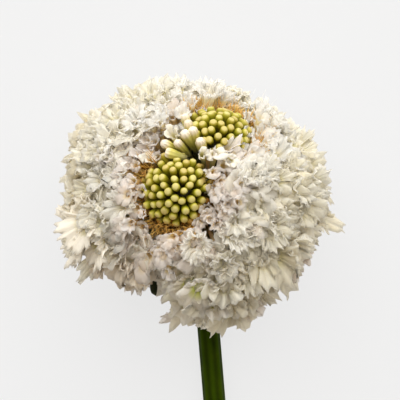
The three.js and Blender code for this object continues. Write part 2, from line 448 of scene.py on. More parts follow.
@dataclass(frozen=True)
class FleshFinish:
    """Firm green tissue: a colour that runs along the piece, blotches, and a slight gloss."""

    name: str
    stops: tuple[tuple[float, Shade], ...]
    blotch: Shade
    roughness: float = 0.5
    scale: float = 500.0
    amount: float = 0.5
    bump: float = 0.3
    coat: float = 0.0
    shine: float = 0.35

    def make(self) -> bpy.types.Material:
        """Builds the material.

        Returns:
            The material.
        """
        material, board = blank(self.name)
        tone = board.ramp(board.attribute("along"), [(at, shade(*colour)) for at, colour in self.stops])
        mottle = board.tissue(tone, shade(*self.blotch), self.scale, self.amount)
        bump = board.add("ShaderNodeBump", {
            "Strength": self.bump, "Distance": 0.0001, "Height": mottle.outputs["Height"]})
        surface = board.add("ShaderNodeBsdfPrincipled", {
            "Base Color": mottle.outputs["Colour"], "Roughness": self.roughness, "Coat Weight": self.coat,
            "Specular IOR Level": self.shine, "Normal": bump.outputs[0]})
        board.add("ShaderNodeOutputMaterial", {"Surface": surface.outputs[0]})
        return material


# ---------------------------------------------------------------- pieces


class Weave(Enum):
    """How finely a sleeve is divided: points round it, rows along it, and whether its ends are closed."""

    FINE = (150, 12, False)
    MEDIUM = (64, 8, False)
    SMALL = (30, 6, False)
    BUD = (10, 5, True)
    SWOLLEN = (32, 9, True)
    HAIR = (4, 3, True)


def baked(bm: bmesh.types.BMesh, name: str) -> bpy.types.Mesh:
    """Turns an edited mesh into a finished one, and frees it."""
    mesh = bpy.data.meshes.new(name)
    bm.to_mesh(mesh)
    bm.free()
    return mesh


def rows_of_faces(around: int, rows: int, closed: bool) -> bmesh.types.BMesh:
    """An upright tube of radius 1 and height 1, cut into rows.

    Args:
        around: the points round it.
        rows: the rows along it.
        closed: whether its ends are closed.

    Returns:
        The tube, to be edited further.
    """
    bm = bmesh.new()
    bmesh.ops.create_cone(bm, cap_ends=closed, segments=around, radius1=1, radius2=1, depth=1)
    upright = [edge for edge in bm.edges if abs(edge.verts[0].co.z - edge.verts[1].co.z) > 0.5]
    bmesh.ops.subdivide_edges(bm, edges=upright, cuts=rows - 1)
    return bm


class Sleeve:
    """A tube of even faces, which every floret and bud is drawn out of."""

    made: dict[Weave, "Sleeve"] = {}

    def __init__(self, weave: Weave) -> None:
        """Makes the tube and keeps each point's turn and row.

        Args:
            weave: how finely it is divided.
        """
        bm = rows_of_faces(*weave.value)
        layout = bm.loops.layers.uv.new("UVMap")
        bmesh.ops.recalc_face_normals(bm, faces=bm.faces)
        for face in bm.faces:
            turns = [math.atan2(loop.vert.co.y, loop.vert.co.x) % math.tau for loop in face.loops]
            seam = max(turns) - min(turns) > math.pi
            for loop, turn in zip(face.loops, turns):
                wrapped = turn + math.tau if seam and turn < math.pi else turn
                loop[layout].uv = (wrapped / math.tau, loop.vert.co.z + 0.5)
            face.smooth = True
        self.mesh = baked(bm, "sleeve")
        points = np.empty(len(self.mesh.vertices) * 3)
        self.mesh.vertices.foreach_get("co", points)
        points = points.reshape(-1, 3)
        self.turn = np.arctan2(points[:, 1], points[:, 0]) % math.tau
        self.row = points[:, 2] + 0.5

    @classmethod
    def of(cls, weave: Weave) -> "Sleeve":
        """The tube of that weave, made once."""
        if weave not in cls.made:
            cls.made[weave] = cls(weave)
        return cls.made[weave]

    def drawn(self, points: np.ndarray, along: np.ndarray, tint: float) -> bpy.types.Mesh:
        """Draws a copy of the tube out, with what its finish reads.

        Args:
            points: where its points go, in the row frame.
            along: how far along the piece each point is, from 0 to 1.
            tint: how strongly the piece takes its finish's second colour, from 0 to 1.

        Returns:
            The mesh.
        """
        mesh = self.mesh.copy()
        mesh.vertices.foreach_set("co", points.ravel())
        for name, values in (("along", along), ("tint", np.full(len(along), tint))):
            mesh.attributes.new(name, "FLOAT", "POINT").data.foreach_set("value", values)
        return mesh


@dataclass
class Floret:
    """One floret: a tube that opens into a frilled mouth of fused lobes. Lengths are in metres.

    Angles from the floret's own axis are in degrees, and a petal that has opened flat is at 90.
    """

    reach: float
    foot: float
    blade: float
    throat: float = 1.5 * MM
    lobes: int = 5
    notch: float = 0.68
    outer: float = 0.3
    opening: tuple[float, float] = (18.0, 88.0)
    fan: float = 0.45
    ruffle: float = 1.1 * MM
    ribs: int = 7
    pleat: float = 0.16 * MM
    tooth: float = 0.12
    lean: float = 0.1
    tube_share: float = 0.25
    weave: Weave = Weave.FINE

    def points(self, axis: np.ndarray, plan: HeadPlan, rng: np.random.Generator) -> np.ndarray:
        """Draws the tube out into the floret.

        Args:
            axis: the floret's direction from the head's centre.
            plan: the head's layout.
            rng: the source of the floret's own irregularity.

        Returns:
            The points in the row frame.
        """
        sleeve = Sleeve.of(self.weave)
        turn, row = sleeve.turn, sleeve.row
        count = self.lobes
        which = np.floor(count * turn / math.tau + 0.5).astype(int) % count
        across = (count * turn / math.tau + 0.5) % 1 * 2 - 1
        lobe = (1 - np.abs(across) ** 3.2) ** 0.5
        phases = rng.uniform(0, math.tau, 8)
        out = np.clip((row - self.tube_share) / (1 - self.tube_share), 0, 1)
        frill = sum(size * np.sin(rate * turn + phase) for rate, size, phase in
                    ((count + 2, 0.5, phases[0]), (count * 2 + 1, 0.5, phases[1]), (count * 3 + 2, 0.45, phases[2]),
                     (count * 5 + 1, 0.3, phases[5])))
        rib = np.sin(count * self.ribs * turn + phases[3])
        teeth = 0.8 * rib + 0.7 * np.sin(count * self.ribs * 0.5 * turn + phases[4])
        length = self.blade * (self.notch + (1 - self.notch) * lobe) * rng.uniform(0.8, 1.2, count)[which]
        length = length * (1 + self.outer * (np.cos(turn) - 0.2)) * (1 + self.tooth * out ** 6 * teeth)
        first, last = self.opening
        curl = rng.uniform(-24, 24, count)[which] * lobe
        steps = np.linspace(0, 1, 9)[:, None]
        angles = np.radians(first + (last + curl - first) * (steps * out) ** 1.1)
        spread = np.trapz(np.sin(angles), dx=1 / 8, axis=0) * out * length
        rise = np.trapz(np.cos(angles), dx=1 / 8, axis=0) * out * length
        fold = self.ruffle * frill * out ** 1.4 + self.pleat * rib * out + 0.5 * self.ruffle * across * out
        tube = np.clip(row / self.tube_share, 0, 1)
        drawn = self.reach - self.blade * 0.4
        radius = self.throat * (0.55 + 0.45 * tube ** 2) + spread + fold * np.cos(angles[-1])
        height = self.foot + (drawn - self.foot) * tube + rise - fold * np.sin(angles[-1])
        height = height - 0.8 * radius ** 2 / (2 * self.reach) * out
        swirl = turn + self.fan * across * math.pi / count * out + rng.uniform(-0.3, 0.3)
        local = np.column_stack([radius * np.cos(swirl), radius * np.sin(swirl), height])
        bend = rng.uniform(-self.lean, self.lean, 2)
        local[:, :2] += (height - self.foot)[:, None] * bend * (height / self.reach)[:, None]
        placed = plan.centre + local @ frame_about(axis, plan.face).T
        return lift_off_surface(placed)

    def skin(self, axis: np.ndarray, plan: HeadPlan, rng: np.random.Generator, tint: float) -> bpy.types.Mesh:
        """Makes the floret's mesh, with what its finish reads.

        Args:
            axis: the floret's direction from the head's centre.
            plan: the head's layout.
            rng: the source of the floret's own irregularity.
            tint: how strongly the floret takes its finish's second colour, from 0 to 1.

        Returns:
            The mesh.
        """
        sleeve = Sleeve.of(self.weave)
        return sleeve.drawn(self.points(axis, plan, rng), sleeve.row, tint)


def joined(meshes: Iterable[bpy.types.Mesh], name: str) -> bpy.types.Mesh:
    """Joins meshes into one.

    Args:
        meshes: the meshes, which are removed.
        name: the new mesh's name.

    Returns:
        The joined mesh.
    """
    bm = bmesh.new()
    for mesh in list(meshes):
        bm.from_mesh(mesh)
        bpy.data.meshes.remove(mesh)
    return baked(bm, name)


def place(name: str, mesh: bpy.types.Mesh, material: bpy.types.Material, slot: str, stands_for: Sequence[str] = (),
          wall: float = 0.0, smooth: int = 0) -> bpy.types.Object:
    """Puts a mesh into the scene as a piece of the flower.

    Args:
        name: the piece's name.
        mesh: its mesh, in the row frame.
        material: its finish.
        slot: the record's material slot that it takes; not used.
        stands_for: the CAD nodes that it replaces.
        wall: the thickness that a skin is given, in metres.
        smooth: the levels of subdivision.

    Returns:
        The piece.
    """
    piece = bpy.data.objects.new(name, mesh)
    bpy.context.scene.collection.objects.link(piece)
    mesh.materials.clear()
    mesh.materials.append(material)
    if wall:
        solid = piece.modifiers.new("wall", "SOLIDIFY")
        solid.thickness, solid.offset, solid.use_rim = wall, 0.0, True
    if smooth:
        surface = piece.modifiers.new("smooth", "SUBSURF")
        surface.levels = surface.render_levels = smooth
    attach(piece, "root")
    if stands_for:
        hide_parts(*stands_for)
    log.info("%s: %d faces", name, len(mesh.polygons))
    return piece


@dataclass
class Corona:
    """The florets that stand for the CAD model's rings, one piece each."""

    plan: HeadPlan
    wall: float = 0.12 * MM
    blades: dict[str, float] = field(default_factory=lambda: {
        "inner": 3.9 * MM, "middle": 5.6 * MM, "outer": 7.4 * MM, "skirt": 8.8 * MM})

    def node_axis(self, node: bpy.types.Object) -> tuple[np.ndarray, float, float]:
        """Reads a floret's place from its CAD node.

        Args:
            node: the CAD node.

        Returns:
            Its direction from the head's centre, its foot's distance and its reach.
        """
        points = np.empty(len(node.data.vertices) * 3)
        node.data.vertices.foreach_get("co", points)
        points = points.reshape(-1, 3) - self.plan.centre
        far = np.linalg.norm(points, axis=1)
        foot = int(far.argmin())
        return points[foot] / far[foot], float(far[foot]), float(far.max())

    def build(self, finishes: dict[str, bpy.types.Material]) -> list[np.ndarray]:
        """Builds every ringed floret.

        Args:
            finishes: each ring's material.

        Returns:
            The florets' directions.
        """
        axes = []
        for index, (name, node) in enumerate(sorted(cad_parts.items())):
            if "_floret_" not in name:
                continue
            ring = name.split("_")[0]
            rng = np.random.default_rng(Seed.CORONA + index)
            axis, foot, reach = self.node_axis(node)
            axes.append(axis)
            large = ring in ("outer", "skirt")
            cupped = self.plan.within(axis, Patch.CUPPED)
            floret = Floret(
                reach=reach * rng.uniform(0.91, 0.95) * self.plan.settled(axis), foot=foot,
                blade=self.blades[ring] * rng.uniform(0.9, 1.1) * (1.25 if cupped else 1.0),
                throat=(2.6 if cupped else 1.9 if large else 1.5) * MM, outer=0.4 if large else rng.uniform(0.1, 0.6),
                opening=(16.0, rng.uniform(*((52, 66) if cupped else (72, 104) if large else (30, 90)))),
                ruffle=(1.1 if large else 0.8) * MM, lean=0.12)
            mesh = floret.skin(axis, self.plan, rng, rng.uniform(0, 0.7))
            # Florets in this patch take painted shade: a darker, browner finish where the head lies in its own shade.
            dusky = self.plan.within(axis, Patch.DUSKY)
            finish = finishes["cupped" if cupped else "dusky" if dusky else ring]
            place(f"{name}_petals", mesh, finish, f"{ring}_florets", [name], wall=self.wall)
        return axes


class Tier(Enum):
    """The layers of smaller florets: directions on the sphere, share of the full reach, and how fine they are."""

    UPPER = (720, 1.0, Weave.MEDIUM)
    UNDER = (820, 0.95, Weave.SMALL)


@dataclass
class Filling:
    """The smaller florets that crowd between and under the ringed ones, a few pieces in all."""

    plan: HeadPlan
    tier: Tier
    wall: float = 0.12 * MM
    from_eyes: float = 15.0
    to_back: float = 121.0
    near_reach: float = 28.2 * MM
    added_reach: float = 4.6 * MM
    full_from: float = 48.0
    ring_edges: tuple[tuple[str, float], ...] = (("inner", 22.0), ("middle", 42.0), ("outer", 66.0))

    def axes(self, taken: Sequence[np.ndarray]) -> list[np.ndarray]:
        """Directions spread evenly over the head, clear of the eyes, the stem and the ringed florets.

        Args:
            taken: the ringed florets' directions.

        Returns:
            The directions.
        """
        found = []
        clear = math.cos(math.radians(5.5 if self.tier is Tier.UPPER else 2.5))
        for axis in self.plan.spiral(self.tier.value[0]):
            crowded = any(float(axis @ other) > clear for other in taken)
            kept_open = any(self.plan.within(axis, patch) for patch in (Patch.OPEN_BY_STEM, Patch.OPEN_OVER_BRACT))
            in_band = self.plan.beyond_eyes(axis) > self.from_eyes and self.plan.polar(axis) < self.to_back
            if in_band and not crowded and not kept_open:
                found.append(axis)
        return found

    def floret(self, axis: np.ndarray, rng: np.random.Generator) -> Floret:
        """Chooses the size and shape of the floret that stands at a direction.

        Args:
            axis: its direction from the head's centre.
            rng: the source of its own irregularity.

        Returns:
            The floret.
        """
        share, weave = self.tier.value[1:]
        far = min(1.0, self.plan.beyond_eyes(axis) / self.full_from)
        reach = (self.near_reach + self.added_reach * far) * rng.uniform(0.96, 1.01) * self.plan.settled(axis) * share
        if self.tier is Tier.UNDER:
            return Floret(reach=reach, foot=14 * MM, blade=(4.0 + 2.2 * far) * MM, throat=1.1 * MM, outer=0.1,
                          opening=(20.0, rng.uniform(75, 95)), fan=0.2, ruffle=0.4 * MM, ribs=1, pleat=0.0,
                          lean=0.1, weave=weave)
        return Floret(reach=reach, foot=14 * MM, blade=(2.7 + 2.9 * far) * MM * rng.uniform(0.8, 1.2),
                      throat=(0.8 + 0.5 * far) * MM, outer=rng.uniform(0.05, 0.5),
                      opening=(14.0, rng.uniform(35, 105)), ruffle=(0.6 + 0.4 * far) * MM, ribs=3,
                      pleat=0.12 * MM, lean=0.22, weave=weave)

    def build(self, finishes: dict[str, bpy.types.Material], taken: Sequence[np.ndarray]) -> None:
        """Builds the filling, gathered by how far out it stands and by side.

        Args:
            finishes: each ring's material.
            taken: the ringed florets' directions.
        """
        gathered: dict[tuple[str, str], list[bpy.types.Mesh]] = {}
        for index, axis in enumerate(self.axes(taken)):
            rng = np.random.default_rng(Seed.FILLING + 1000 * self.tier.value[0] + index)
            out = self.plan.beyond_eyes(axis)
            ring = next((label for label, edge in self.ring_edges if out < edge), "skirt")
            side = "left" if axis[0] < 0 else "right"
            skin = self.floret(axis, rng).skin(axis, self.plan, rng, rng.uniform(0, 0.9))
            # The sappy patch has greener tubes; the second patch takes painted shade, a darker, browner finish.
            for patch in (Patch.SAPPY, Patch.DUSKY):
                side = patch.name.lower() if self.plan.within(axis, patch) else side
            gathered.setdefault((ring, side), []).append(skin)
        for (ring, side), meshes in gathered.items():
            name = f"{ring}_{self.tier.name.lower()}_filling_{side}"
            finish = finishes.get(side, finishes[ring])
            place(name, joined(meshes, name), finish, f"{ring}_florets", wall=self.wall)


@dataclass
class Collar:
    """The young, just opened florets in rings round both eyes."""

    plan: HeadPlan
    wall: float = 0.11 * MM
    rings: tuple[tuple[float, int, float], ...] = (
        (3.4, 46, 25.0), (7.3, 54, 26.2), (11.0, 58, 27.3), (14.8, 62, 28.3))
    waist_steps: int = 1500
    waist_band: tuple[float, float] = (0.6, 15.5)
    waist_polar: float = 40.0
    waist_sides: tuple[float, float] = (9.0, 27.0)
    hair_turn: float = -38.0

    def bristly(self, axis: np.ndarray) -> bool:
        """Whether a direction is on the side of an eye where the hairs stand, away from the other eye."""
        eye = max(self.plan.eyes, key=lambda one: float(axis @ one))
        turn = math.radians(self.hair_turn if eye is self.plan.eyes[0] else 0.0)
        away, beside = frame_about(eye, self.plan.face)[:, 0], frame_about(eye, self.plan.face)[:, 1]
        return float(axis @ (away * math.cos(turn) + beside * math.sin(turn))) > 0.14

    def waist(self) -> list[np.ndarray]:
        """Directions that fill the ground between the rings and the narrow place between the eyes.

        Returns:
            The directions, in the row frame.
        """
        found = []
        (near, far), (right, left) = self.waist_band, self.waist_sides
        for axis in self.plan.spiral(self.waist_steps):
            sideways = float(axis @ (self.plan.turn @ np.array([1.0, 0, 0])))
            open_side = sideways > math.sin(math.radians(right)) or sideways < -math.sin(math.radians(left))
            if open_side and near < self.plan.beyond_eyes(axis) < far and self.plan.polar(axis) < self.waist_polar:
                found.append(axis)
        return found

    def skins(self, axes: Sequence[np.ndarray], number: int, reach: float) -> list[bpy.types.Mesh]:
        """Makes one ring's florets.

        Args:
            axes: their directions.
            number: the ring's number, from 0 at the eyes.
            reach: the distance that they reach from the head's centre, in millimetres.

        Returns:
            Their meshes.
        """
        meshes = []
        for index, axis in enumerate(axes):
            rng = np.random.default_rng(Seed.COLLAR + 1000 * number + index)
            shifted = axis + rng.normal(0, 0.024, 3)
            floret = Floret(
                reach=reach * MM * rng.uniform(0.95, 1.04), foot=16 * MM,
                blade=(1.6 + 0.35 * number) * MM * rng.uniform(0.75, 1.35), throat=(0.6 + 0.05 * number) * MM,
                lobes=int(rng.integers(4, 6)), notch=rng.uniform(0.15, 0.4), outer=rng.uniform(0.1, 0.9),
                opening=(12.0, rng.uniform(25, 135)), fan=0.25, ruffle=0.4 * MM, ribs=2, pleat=0.05 * MM, lean=0.34,
                tube_share=0.35, weave=Weave.SMALL)
            meshes.append(floret.skin(shifted / np.linalg.norm(shifted), self.plan, rng, rng.uniform(0, 1)))
        return meshes

    def build(self, finish: bpy.types.Material, pale: bpy.types.Material) -> None:
        """Builds each ring as two pieces, one by each eye, and the waist's florets as another.

        Args:
            finish: the young petals' material.
            pale: the material of those by the upper eye, which have opened further.
        """
        lower, upper = self.plan.eyes
        for number, (out, count, reach) in enumerate(self.rings):
            axes = [axis for axis in self.plan.oval(out, count, 3.0 * number) if out > 5 or not self.bristly(axis)]
            for label, material, own in (
                    ("lower", finish, [axis for axis in axes if axis @ lower >= axis @ upper]),
                    ("upper", pale, [axis for axis in axes if axis @ lower < axis @ upper])):
                place(f"young_florets_{label}_{number + 1}", joined(self.skins(own, number, reach), "young_florets"),
                      material, "inner_florets", wall=self.wall)
        place("waist_florets", joined(self.skins(self.waist(), 2, 25.9), "waist_florets"), finish, "inner_florets",
              wall=self.wall)


@dataclass
class Bud:
    """One closed bud, from its root to its blunt tip. Lengths are in metres."""

    root: np.ndarray
    tip: np.ndarray
    width: float
    ribs: int = 5
    ribbing: float = 0.05
    weave: Weave = Weave.BUD

    def skin(self, plan: HeadPlan, tint: float, squeeze: float = 1.0) -> bpy.types.Mesh:
        """Makes the bud's mesh, with what its finish reads.

        Args:
            plan: the head's layout.
            tint: how strongly it takes its finish's second colour, from 0 to 1.
            squeeze: how wide it is one way for the other.

        Returns:
            The mesh, in the row frame.
        """
        sleeve = Sleeve.of(self.weave)
        up = 1 - (1 - sleeve.row) ** 1.7
        out = np.interp(up, [0.0, 0.3, 0.6, 0.82, 0.94, 1.0], [0.55, 0.74, 0.92, 1.0, 0.9, 0.6]) * self.width / 2
        out = out * (1 + self.ribbing * np.cos(self.ribs * sleeve.turn) * up)
        length = float(np.linalg.norm(self.tip - self.root))
        local = np.column_stack([out * np.cos(sleeve.turn) * squeeze, out * np.sin(sleeve.turn), up * length])
        stand = frame_about((self.tip - self.root) / length, plan.face)
        return sleeve.drawn(self.root + local @ stand.T, up, tint)


@dataclass
class Eye:
    """A dome packed with closed buds, in the spiral that such heads grow in. Lengths are in metres."""

    plan: HeadPlan
    which: int
    dome: float = 6.1 * MM
    length: float = 4.5 * MM
    sunk: float = 0.9 * MM
    width: float = 2.35 * MM
    count: int = 52
    edge: float = 58.0
    withered: int = 46

    def build(self, name: str, finish: bpy.types.Material, core: bpy.types.Material) -> None:
        """Builds the buds as one piece, and the dome under them as another.

        Args:
            name: the CAD node that the buds stand for.
            finish: the buds' material.
            core: the dome's material.
        """
        axis = self.plan.eyes[self.which]
        side = -1 if self.which == 0 else 1
        stand = frame_about(axis, self.plan.face)
        across = self.plan.turn @ np.array([0, 1.0, 0])
        centre = self.plan.centre + axis * self.plan.seat
        buds = []
        for index in range(self.count + self.withered):
            rng = np.random.default_rng(Seed.EYE + 100 * self.which + index)
            share = (index + 0.5) / self.count
            polar = math.acos(1 - share * (1 - math.cos(math.radians(self.edge))))
            turn = index * GOLDEN_ANGLE
            way = stand @ ray(polar, turn)
            late = min(1.0, max(0.0, share - 0.92) * 2.2)
            length = self.length * (1 - 0.15 * late) * rng.uniform(0.9, 1.06)
            tip = centre + (way + rng.normal(0, 0.02 + 0.1 * late, 3)) * (self.dome + length)
            if float((tip - self.plan.centre) @ across) * side < 0.5 * self.width:
                continue
            width = self.width * rng.uniform(0.92, 1.05) * (1 - 0.3 * late)
            bud = Bud(centre + way * (self.dome - self.sunk), tip, width)
            withers = 1.2 * late if math.cos(turn) > -0.4 else 0.3 * late
            buds.append(bud.skin(self.plan, min(1.0, rng.uniform(0, 0.3) + withers), rng.uniform(0.86, 1.05)))
        place(f"{name}_closed", joined(buds, name), finish, "buds", [name], smooth=1)
        bm = bmesh.new()
        bmesh.ops.create_uvsphere(bm, u_segments=24, v_segments=16, radius=self.dome)
        bmesh.ops.translate(bm, verts=bm.verts, vec=Vector(centre))
        place(f"{name}_dome", baked(bm, f"{name}_dome"), core, "receptacle")


@dataclass
class Cleft:
    """What grows between the eyes: swollen, ribbed buds on one side and newly opened florets on the other.

    Places are a polar angle and an azimuth about the face axis, in degrees, and a distance from the head's centre,
    in millimetres.
    """

    plan: HeadPlan
    swollen: tuple[tuple[tuple[float, float, float], tuple[float, float, float], float], ...] = (
        ((11.8, 162, 27.4), (9.6, 127, 19.5), 2.7), ((11.4, 138, 27.6), (9.6, 120, 19.5), 2.6),
        ((4.6, 112, 26.8), (7.0, 60, 19.0), 2.6), ((20.1, -161, 26.8), (14.0, 170, 19.0), 2.4),
        ((18.7, -147, 25.6), (7.5, -125, 23.2), 2.7), ((18.4, 141, 27.4), (14.0, 130, 19.0), 2.4),
        ((26.3, 140, 27.0), (20.0, 132, 19.0), 2.3), ((12.5, -167, 26.6), (9.0, 160, 18.5), 2.3))
    opened: tuple[tuple[float, float, float], ...] = (
        (6.9, 20, 26.0), (12.6, -8, 26.2), (17.0, 14, 26.8), (20.9, 168, 25.6),
        (28.8, -142, 25.0), (31.0, 142, 25.8))

    def spot(self, place_on: Sequence[float]) -> np.ndarray:
        """A place in the row frame."""
        return self.plan.centre + self.plan.towards(place_on[0], place_on[1]) * place_on[2] * MM

    def build(self, buds: bpy.types.Material, petals: bpy.types.Material) -> None:
        """Builds the swollen buds as one piece, and the opened florets as another.

        Args:
            buds: the swollen buds' material.
            petals: the opened florets' material.
        """
        skins = [Bud(self.spot(root), self.spot(tip), width * MM, ribs=8, ribbing=0.11, weave=Weave.SWOLLEN)
                 .skin(self.plan, 0.1 * (index % 3)) for index, (tip, root, width) in enumerate(self.swollen)]
        place("cleft_swollen_buds", joined(skins, "cleft_swollen_buds"), buds, "buds")
        skins = []
        for index, (polar, azimuth, reach) in enumerate(self.opened):
            rng = np.random.default_rng(Seed.CLEFT + index)
            floret = Floret(reach=reach * MM, foot=16 * MM, blade=rng.uniform(1.6, 3.0) * MM, throat=0.8 * MM,
                            lobes=int(rng.integers(3, 6)), notch=0.2, outer=rng.uniform(0.2, 0.9),
                            opening=(8.0, rng.uniform(25, 120)), fan=0.3, ruffle=0.5 * MM, ribs=2, pleat=0.05 * MM,
                            lean=0.2, tube_share=0.45, weave=Weave.SMALL)
            skins.append(floret.skin(self.plan.towards(polar, azimuth), self.plan, rng, rng.uniform(0, 0.5)))
        place("cleft_opened_florets", joined(skins, "cleft_opened_florets"), petals, "inner_florets",
              wall=0.12 * MM)


@dataclass
class Bristles:
    """The stiff ochre hairs that stand along part of an eye's rim. Angles are in degrees."""

    plan: HeadPlan
    which: int
    count: int
    middle: float
    sweep: float
    band: tuple[float, float] = (22.0, 29.0)
    start: tuple[float, float] = (23.5, 25.0)
    length: tuple[float, float] = (1.6, 3.4)
    width: float = 0.26 * MM

    def build(self, name: str, finish: bpy.types.Material) -> None:
        """Builds the hairs as one piece.

        Args:
            name: the piece's name.
            finish: the hairs' material.
        """
        stand = frame_about(self.plan.eyes[self.which], self.plan.face)
        hairs = []
        for index in range(self.count):
            rng = np.random.default_rng(Seed.BRISTLES + 500 * self.which + index)
            turn = math.radians(self.middle + self.sweep * rng.uniform(-0.5, 0.5))
            polar = math.radians(rng.uniform(*self.band))
            way = stand @ ray(polar, turn)
            start = rng.uniform(*self.start) * MM
            root = self.plan.centre + way * start
            tip = self.plan.centre + (way + rng.normal(0, 0.04, 3)) * (start + rng.uniform(*self.length) * MM)
            sleeve = Sleeve.of(Weave.HAIR)
            length = float(np.linalg.norm(tip - root))
            out = self.width / 2 * (1 - 0.8 * sleeve.row)
            bend = rng.uniform(-0.3, 0.3) * MM * sleeve.row ** 2
            local = np.column_stack([
                out * np.cos(sleeve.turn) + bend, out * np.sin(sleeve.turn), sleeve.row * length])
            axes = frame_about((tip - root) / length, self.plan.face)
            hairs.append(sleeve.drawn(root + local @ axes.T, sleeve.row, rng.random()))
        place(name, joined(hairs, name), finish, "buds")


@dataclass
class Stem:
    """The stalk: out of the back of the head, round the neck, then along the surface. Lengths are in metres."""

    plan: HeadPlan
    radius: float = 3.0 * MM
    core: float = 11.5 * MM
    gap: float = 0.3 * MM
    reach: float = 168 * MM
    landing: float = 36 * MM
    lean: float = 4.7
    ridges: int = 8
    neck: float = 0.24
    around: int = 48
    rows: int = 80
    cut_rings: tuple[tuple[float, float], ...] = ((0.0, 0.12), (0.0, 0.34), (-0.004, 0.2))

    def path(self, share: float) -> np.ndarray:
        """A point on the stalk's middle line.

        Args:
            share: how far along it is, from 0 at the head to 1 at the cut end.

        Returns:
            The point, in the row frame.
        """
        turn = math.radians(self.lean)
        run = np.array([math.sin(turn), -math.cos(turn), 0])
        low = np.array([self.plan.centre[0], self.plan.centre[1], self.radius])
        bends = [self.plan.centre - self.plan.face * (self.core + self.gap),
                 self.plan.centre - self.plan.face * (self.core + self.landing * 0.34),
                 low + run * self.landing * 0.55, low + run * self.landing]
        if share < self.neck:
            t = share / self.neck
            return ((1 - t) ** 3 * bends[0] + 3 * (1 - t) ** 2 * t * bends[1] + 3 * (1 - t) * t ** 2 * bends[2]
                    + t ** 3 * bends[3])
        t = (share - self.neck) / (1 - self.neck)
        return bends[3] + (low + run * self.reach - bends[3]) * t

    def build(self, finish: bpy.types.Material, cut: bpy.types.Material) -> None:
        """Builds the ribbed stalk and its pale cut face.

        Args:
            finish: the stalk's material.
            cut: the cut face's material.
        """
        bm = rows_of_faces(self.around, self.rows, True)
        bm.faces.ensure_lookup_table()
        ends = [face for face in bm.faces if len(face.verts) > 4]
        far = max(ends, key=lambda face: face.calc_center_median().z)
        far.material_index = 1
        for depth, width in self.cut_rings:
            bmesh.ops.inset_region(bm, faces=[far], thickness=width, depth=depth)
        along_layer = bm.verts.layers.float.new("along")
        tint_layer = bm.verts.layers.float.new("tint")
        for vert in bm.verts:
            share = min(1.0, max(0.0, vert.co.z + 0.5))
            here, ahead = self.path(share), self.path(min(1.0, share + 0.004))
            back = self.path(max(0.0, share - 0.004))
            forward = (ahead - back) / np.linalg.norm(ahead - back)
            side = np.cross(forward, [0, 0, 1.0])
            side /= np.linalg.norm(side)
            up = np.cross(forward, side)
            turn = math.atan2(vert.co.y, vert.co.x)
            out = math.hypot(vert.co.x, vert.co.y)
            rib = 1 - 0.035 + 0.035 * math.cos(self.ridges * turn) if out > 0.9 else 1
            swell = 1 + 0.22 * max(0.0, 1 - share / 0.05) ** 2
            vert.co = Vector(here + (side * math.cos(turn) + up * math.sin(turn)) * out * self.radius * rib * swell)
            vert[along_layer] = share
            vert[tint_layer] = 0.5 - 0.5 * math.cos(self.ridges * turn)
        mesh = baked(bm, "stem")
        for polygon in mesh.polygons:
            polygon.use_smooth = polygon.material_index == 0 and len(polygon.vertices) == 4
        cut_faces = [polygon.index for polygon in mesh.polygons if polygon.material_index == 1]
        piece = place("stem_stalk", mesh, finish, "stem", ["stem"])
        piece.data.materials.append(cut)
        for index in cut_faces:
            mesh.polygons[index].material_index = 1


@dataclass
class Bracts:
    """The narrow green leaves behind the florets. Lengths are in metres."""

    plan: HeadPlan
    thickness: float = 0.5 * MM

    def build(self, finish: bpy.types.Material) -> None:
        """Builds each bract where its CAD node lies, hollowed along its midrib and with a soft tip.

        Args:
            finish: the bracts' material.
        """
        for name, node in sorted(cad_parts.items()):
            if not name.startswith("bract_"):
                continue
            points = np.array([vert.co[:] for vert in node.data.vertices])
            middle = points.mean(axis=0)
            axes = np.linalg.svd(points - middle, full_matrices=False)[2]
            along, across, thick = axes
            if float((middle - self.plan.centre) @ along) < 0:
                along = -along
            if float((middle - self.plan.centre) @ thick) < 0:
                thick = -thick
            reach = (points - middle) @ along
            width = np.ptp((points - middle) @ across)
            bm = bmesh.new()
            bmesh.ops.create_grid(bm, x_segments=10, y_segments=24, size=0.5)
            along_layer = bm.verts.layers.float.new("along")
            tint_layer = bm.verts.layers.float.new("tint")
            for vert in bm.verts:
                u, v = vert.co.x * 2, vert.co.y + 0.5
                outline = (0.42 + 0.58 * math.sin(min(1.0, v / 0.72) * math.pi / 2)) * math.sqrt(
                    max(0.02, 1 - max(0.0, (v - 0.72) / 0.28) ** 2))
                length = reach.min() + (reach.max() - reach.min()) * v
                hollow = 0.5 * MM * (u * u - 0.3) + 0.7 * MM * math.sin(v * math.pi) * 0.6
                vert.co = Vector(middle + along * length + across * (u * 0.5 * width * outline) + thick * hollow)
                vert[along_layer] = v
                vert[tint_layer] = abs(u)
            for face in bm.faces:
                face.smooth = True
            place(f"{name}_leaf", baked(bm, name), finish, "bracts", [name], wall=self.thickness, smooth=1)


# ---------------------------------------------------------------- the set


